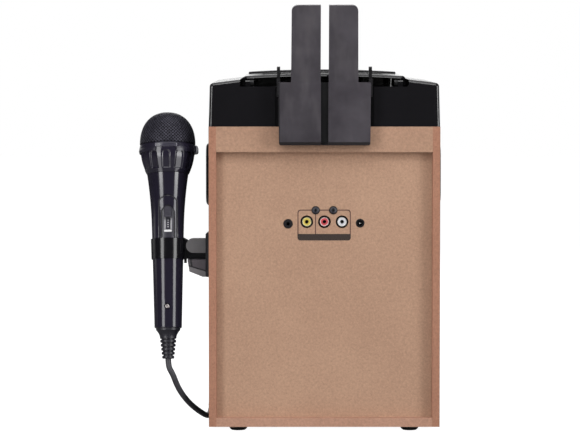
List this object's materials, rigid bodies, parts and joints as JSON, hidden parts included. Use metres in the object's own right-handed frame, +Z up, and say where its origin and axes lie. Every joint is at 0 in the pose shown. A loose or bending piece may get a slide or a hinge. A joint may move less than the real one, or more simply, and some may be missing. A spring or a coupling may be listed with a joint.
{
  "type": "karaoke machine with disc tray",
  "caption": "Tabletop karaoke machine: boxed loudspeaker cabinet with a top-loading disc well under a rear-hinged lid, a tablet holder, rear sockets and a corded microphone clipped to one side.",
  "frame": {"origin": "on the plane the feet stand on, under the centre of the cabinet", "axes": "+Z up; +Y out of the rear, with the sockets; -Y out of the front, with the loudspeaker; the microphone hangs on the +X side"},
  "size_m": [0.3079, 0.358, 0.4257],
  "materials": {
    "laminated_board": "black vinyl laminate on fibreboard, raw edges at the rear",
    "fibreboard": "bare fibreboard, fine speckle",
    "baffle_laminate": "black laminate, satin",
    "housing_gloss": "gloss black moulding",
    "lid_gloss": "gloss black moulding",
    "well_plastic": "fine-textured dark plastic",
    "hinge_plastic": "satin",
    "chassis_sheet": "zinc-plated sheet",
    "rod_steel": "polished steel",
    "motor_can": "drawn steel can",
    "hub_plastic": "satin",
    "sled_plastic": "satin",
    "lens_glass": "coated lens",
    "button_gloss": "gloss",
    "panel_gloss": "gloss black",
    "window_smoked": "smoked display window",
    "circuit_board": "solder resist",
    "button_silver": "metallised",
    "knob_black": "satin, ribbed grip",
    "jack_metal": "nickel-plated",
    "socket_black": "satin",
    "ring_yellow": "satin",
    "ring_red": "satin",
    "ring_white": "satin",
    "screw_dark": "blackened steel",
    "holder_satin": "satin dark grey",
    "spine_black": "satin",
    "feet_rubber": "matt",
    "handle_gloss": "semi-gloss black",
    "ring_diffuser": "milky light ring",
    "grille_metal": "powder-coated steel",
    "driver_metal": "black steel basket",
    "cone_paper": "pressed cone and soft surround",
    "mic_gloss": "semi-gloss black",
    "mic_switch_grey": "semi-gloss",
    "mic_ring_dark": "semi-gloss",
    "mic_mesh": "woven wire, dark",
    "mic_foam": "open foam and capsule",
    "relief_rubber": "satin rubber",
    "bracket_grey": "satin dark grey",
    "clip_black": "satin",
    "cord_black": "soft PVC sheath",
    "plug_nickel": "nickel-plated"
  },
  "bodies": {
    "cabinet": {"side_panel_right": "laminated_board", "side_panel_left": "laminated_board", "bottom_panel": "fibreboard", "top_rail": "fibreboard", "back_panel": "fibreboard", "front_baffle": "baffle_laminate", "light_ring": "ring_diffuser", "speaker_grille": "grille_metal", "speaker_driver": "driver_metal", "speaker_cone": "cone_paper", "feet": "feet_rubber", "handle_right": "handle_gloss", "handle_left": "handle_gloss", "top_housing": "housing_gloss", "disc_tray": "well_plastic", "disc_chassis": "chassis_sheet", "sled_rods": "rod_steel", "spindle_motor": "motor_can", "control_panel": "panel_gloss", "control_board": "circuit_board", "display_window": "window_smoked", "mic_jacks": "jack_metal", "phono_block": "socket_black", "phono_ring_yellow": "ring_yellow", "phono_ring_red": "ring_red", "phono_ring_white": "ring_white", "jack_contacts": "jack_metal", "jack_screws": "screw_dark", "aux_jack": "socket_black", "dc_jack": "socket_black", "jack_board": "circuit_board", "mic_bracket": "bracket_grey", "mic_clip": "clip_black", "mic_cord": "cord_black", "cord_coil": "cord_black", "mic_plug": "plug_nickel"},
    "lid": {"disc_lid": "lid_gloss", "lid_hinge_arms": "hinge_plastic"},
    "lid_button": {"lid_button": "button_gloss"},
    "hub": {"disc_hub": "hub_plastic"},
    "sled": {"laser_sled": "sled_plastic", "laser_lens": "lens_glass"},
    "button_power": {"button_power": "button_silver"},
    "button_play": {"button_play": "button_silver"},
    "button_stop": {"button_stop": "button_silver"},
    "button_back": {"button_back": "button_silver"},
    "button_next": {"button_next": "button_silver"},
    "knob_microphone": {"knob_microphone": "knob_black"},
    "knob_echo": {"knob_echo": "knob_black"},
    "knob_volume": {"knob_volume": "knob_black"},
    "tablet_holder": {"holder_body": "holder_satin", "holder_spine": "spine_black", "holder_hooks": "holder_satin"},
    "microphone": {"mic_body": "mic_gloss", "mic_collar": "mic_gloss", "mic_ring": "mic_ring_dark", "mic_grille": "mic_mesh", "mic_capsule": "mic_foam", "mic_strain_relief": "relief_rubber"},
    "mic_switch": {"mic_switch": "mic_switch_grey"}
  },
  "joints": [
    {"name": "lid_hinge", "type": "hinge", "parent": "cabinet", "child": "lid", "pos_m": [0, 0.097, 0.3506], "axis": [-1, 0, 0], "range_deg": [0, 70]},
    {"name": "lid_button_press", "type": "slide", "parent": "cabinet", "child": "lid_button", "axis": [0, 0, -1], "range_m": [0, 0.0025], "stiffness_N_per_m": 500, "springref_m": -0.001},
    {"name": "hub_spin", "type": "hinge", "parent": "cabinet", "child": "hub", "pos_m": [0, 0.033, 0.34], "axis": [0, 0, 1], "continuous": true},
    {"name": "sled_travel", "type": "slide", "parent": "cabinet", "child": "sled", "axis": [0, -1, 0], "range_m": [0, 0.03]},
    {"name": "power_press", "type": "slide", "parent": "cabinet", "child": "button_power", "axis": [0, 0.4472, -0.8944], "range_m": [0, 0.0012], "stiffness_N_per_m": 500, "springref_m": -0.001},
    {"name": "play_press", "type": "slide", "parent": "cabinet", "child": "button_play", "axis": [0, 0.4472, -0.8944], "range_m": [0, 0.0012], "stiffness_N_per_m": 500, "springref_m": -0.001},
    {"name": "stop_press", "type": "slide", "parent": "cabinet", "child": "button_stop", "axis": [0, 0.4472, -0.8944], "range_m": [0, 0.0012], "stiffness_N_per_m": 500, "springref_m": -0.001},
    {"name": "back_press", "type": "slide", "parent": "cabinet", "child": "button_back", "axis": [0, 0.4472, -0.8944], "range_m": [0, 0.0012], "stiffness_N_per_m": 500, "springref_m": -0.001},
    {"name": "next_press", "type": "slide", "parent": "cabinet", "child": "button_next", "axis": [0, 0.4472, -0.8944], "range_m": [0, 0.0012], "stiffness_N_per_m": 500, "springref_m": -0.001},
    {"name": "microphone_turn", "type": "hinge", "parent": "cabinet", "child": "knob_microphone", "pos_m": [0.019, -0.08176, 0.34373], "axis": [0, -0.4472, 0.8944], "range_deg": [-150, 150]},
    {"name": "echo_turn", "type": "hinge", "parent": "cabinet", "child": "knob_echo", "pos_m": [0.0395, -0.08176, 0.34373], "axis": [0, -0.4472, 0.8944], "range_deg": [-150, 150]},
    {"name": "volume_turn", "type": "hinge", "parent": "cabinet", "child": "knob_volume", "pos_m": [0.06, -0.08176, 0.34373], "axis": [0, -0.4472, 0.8944], "range_deg": [-150, 150]},
    {"name": "holder_lift", "type": "slide", "parent": "cabinet", "child": "tablet_holder", "axis": [0, 0, 1], "range_m": [0, 0.08]},
    {"name": "microphone_lift", "type": "slide", "parent": "cabinet", "child": "microphone", "axis": [0.0087, -0.1392, 0.9902], "range_m": [0, 0.14]},
    {"name": "mic_switch_slide", "type": "slide", "parent": "microphone", "child": "mic_switch", "axis": [-0.0087, 0.1392, -0.9902], "range_m": [0, 0.0118]}
  ]
}
